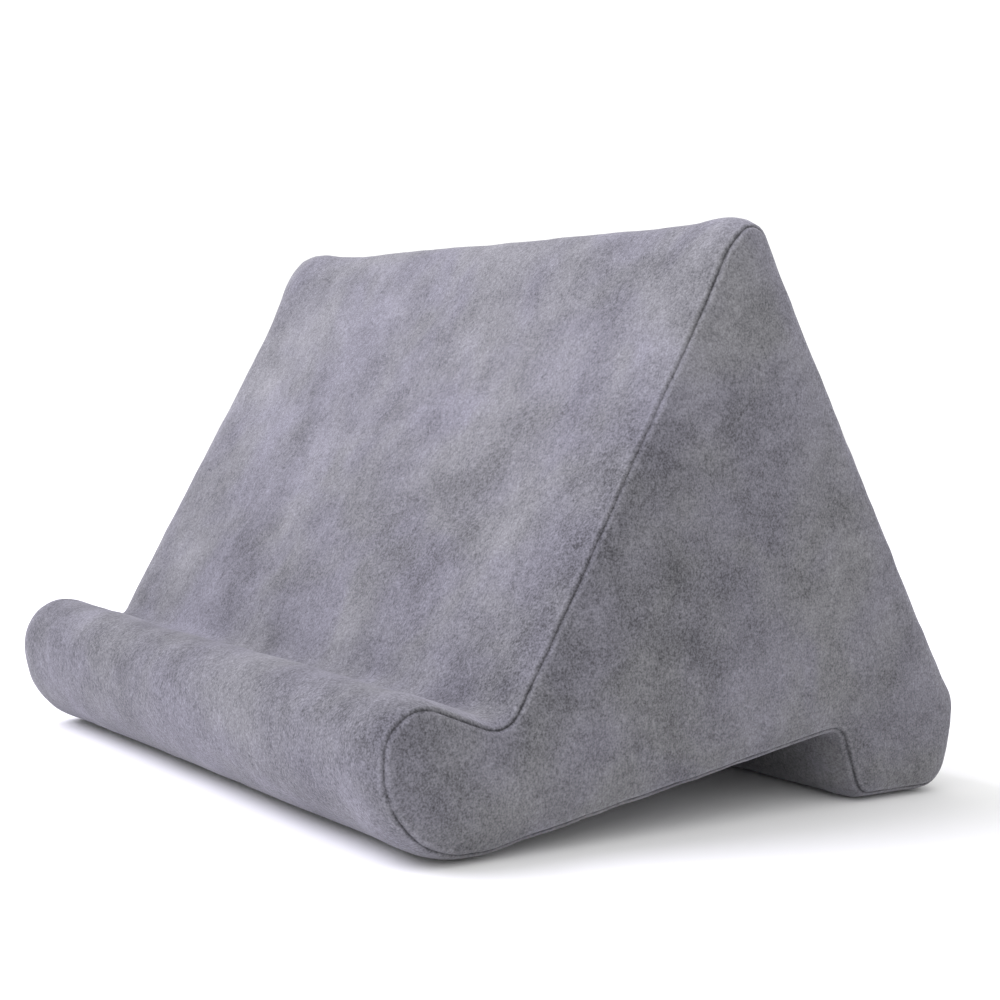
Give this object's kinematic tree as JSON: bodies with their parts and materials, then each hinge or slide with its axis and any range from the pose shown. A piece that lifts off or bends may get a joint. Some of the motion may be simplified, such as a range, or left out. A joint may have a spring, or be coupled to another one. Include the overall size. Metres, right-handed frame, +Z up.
{
  "type": "tablet stand",
  "caption": "Soft wedge pillow stand for a tablet: foam block with a sloped rest face, a front ledge roll, a groove and a rear foot, in a zipped velvet cover.",
  "frame": {"origin": "on the table, in the middle of the width and of the depth", "axes": "+Z up, -Y towards the front roll, +X along the width to the right seen from the front"},
  "size_m": [0.27, 0.2284, 0.1827],
  "materials": {
    "velvet": "short brushed pile, lavender grey, mottled by the lie of the nap",
    "foam": "open-cell polyurethane foam",
    "thread": "spun polyester thread",
    "zipper_tape": "woven polyester tape",
    "zipper_nylon": "nylon coil",
    "zipper_metal": "die-cast zinc, nickel plated",
    "label_satin": "woven satin tag, blank"
  },
  "bodies": {
    "stand": {"foam_core": "foam", "wrap_panel": "velvet", "side_panel_right": "velvet", "side_panel_left": "velvet", "seam_thread_right": "thread", "seam_thread_left": "thread", "zipper_tape_upper": "zipper_tape", "zipper_tape_lower": "zipper_tape", "zipper_teeth_upper": "zipper_nylon", "zipper_teeth_lower": "zipper_nylon", "zipper_top_stops": "zipper_metal", "zipper_bottom_stop": "zipper_metal", "topstitch_upper": "thread", "topstitch_lower": "thread", "care_label": "label_satin"},
    "zipper_slider": {"zipper_slider": "zipper_metal"},
    "zipper_pull": {"zipper_pull": "zipper_metal"}
  },
  "joints": [
    {"name": "zipper_slide", "type": "slide", "parent": "stand", "child": "zipper_slider", "axis": [-1, 0, 0], "range_m": [0, 0.217], "deforming": ["zipper_teeth_upper", "zipper_teeth_lower"]},
    {"name": "pull_hinge", "type": "hinge", "parent": "zipper_slider", "child": "zipper_pull", "pos_m": [0.10885, 0.09716, 0.0638], "axis": [0, 0.5294, -0.8484], "range_deg": [0, 160]}
  ]
}
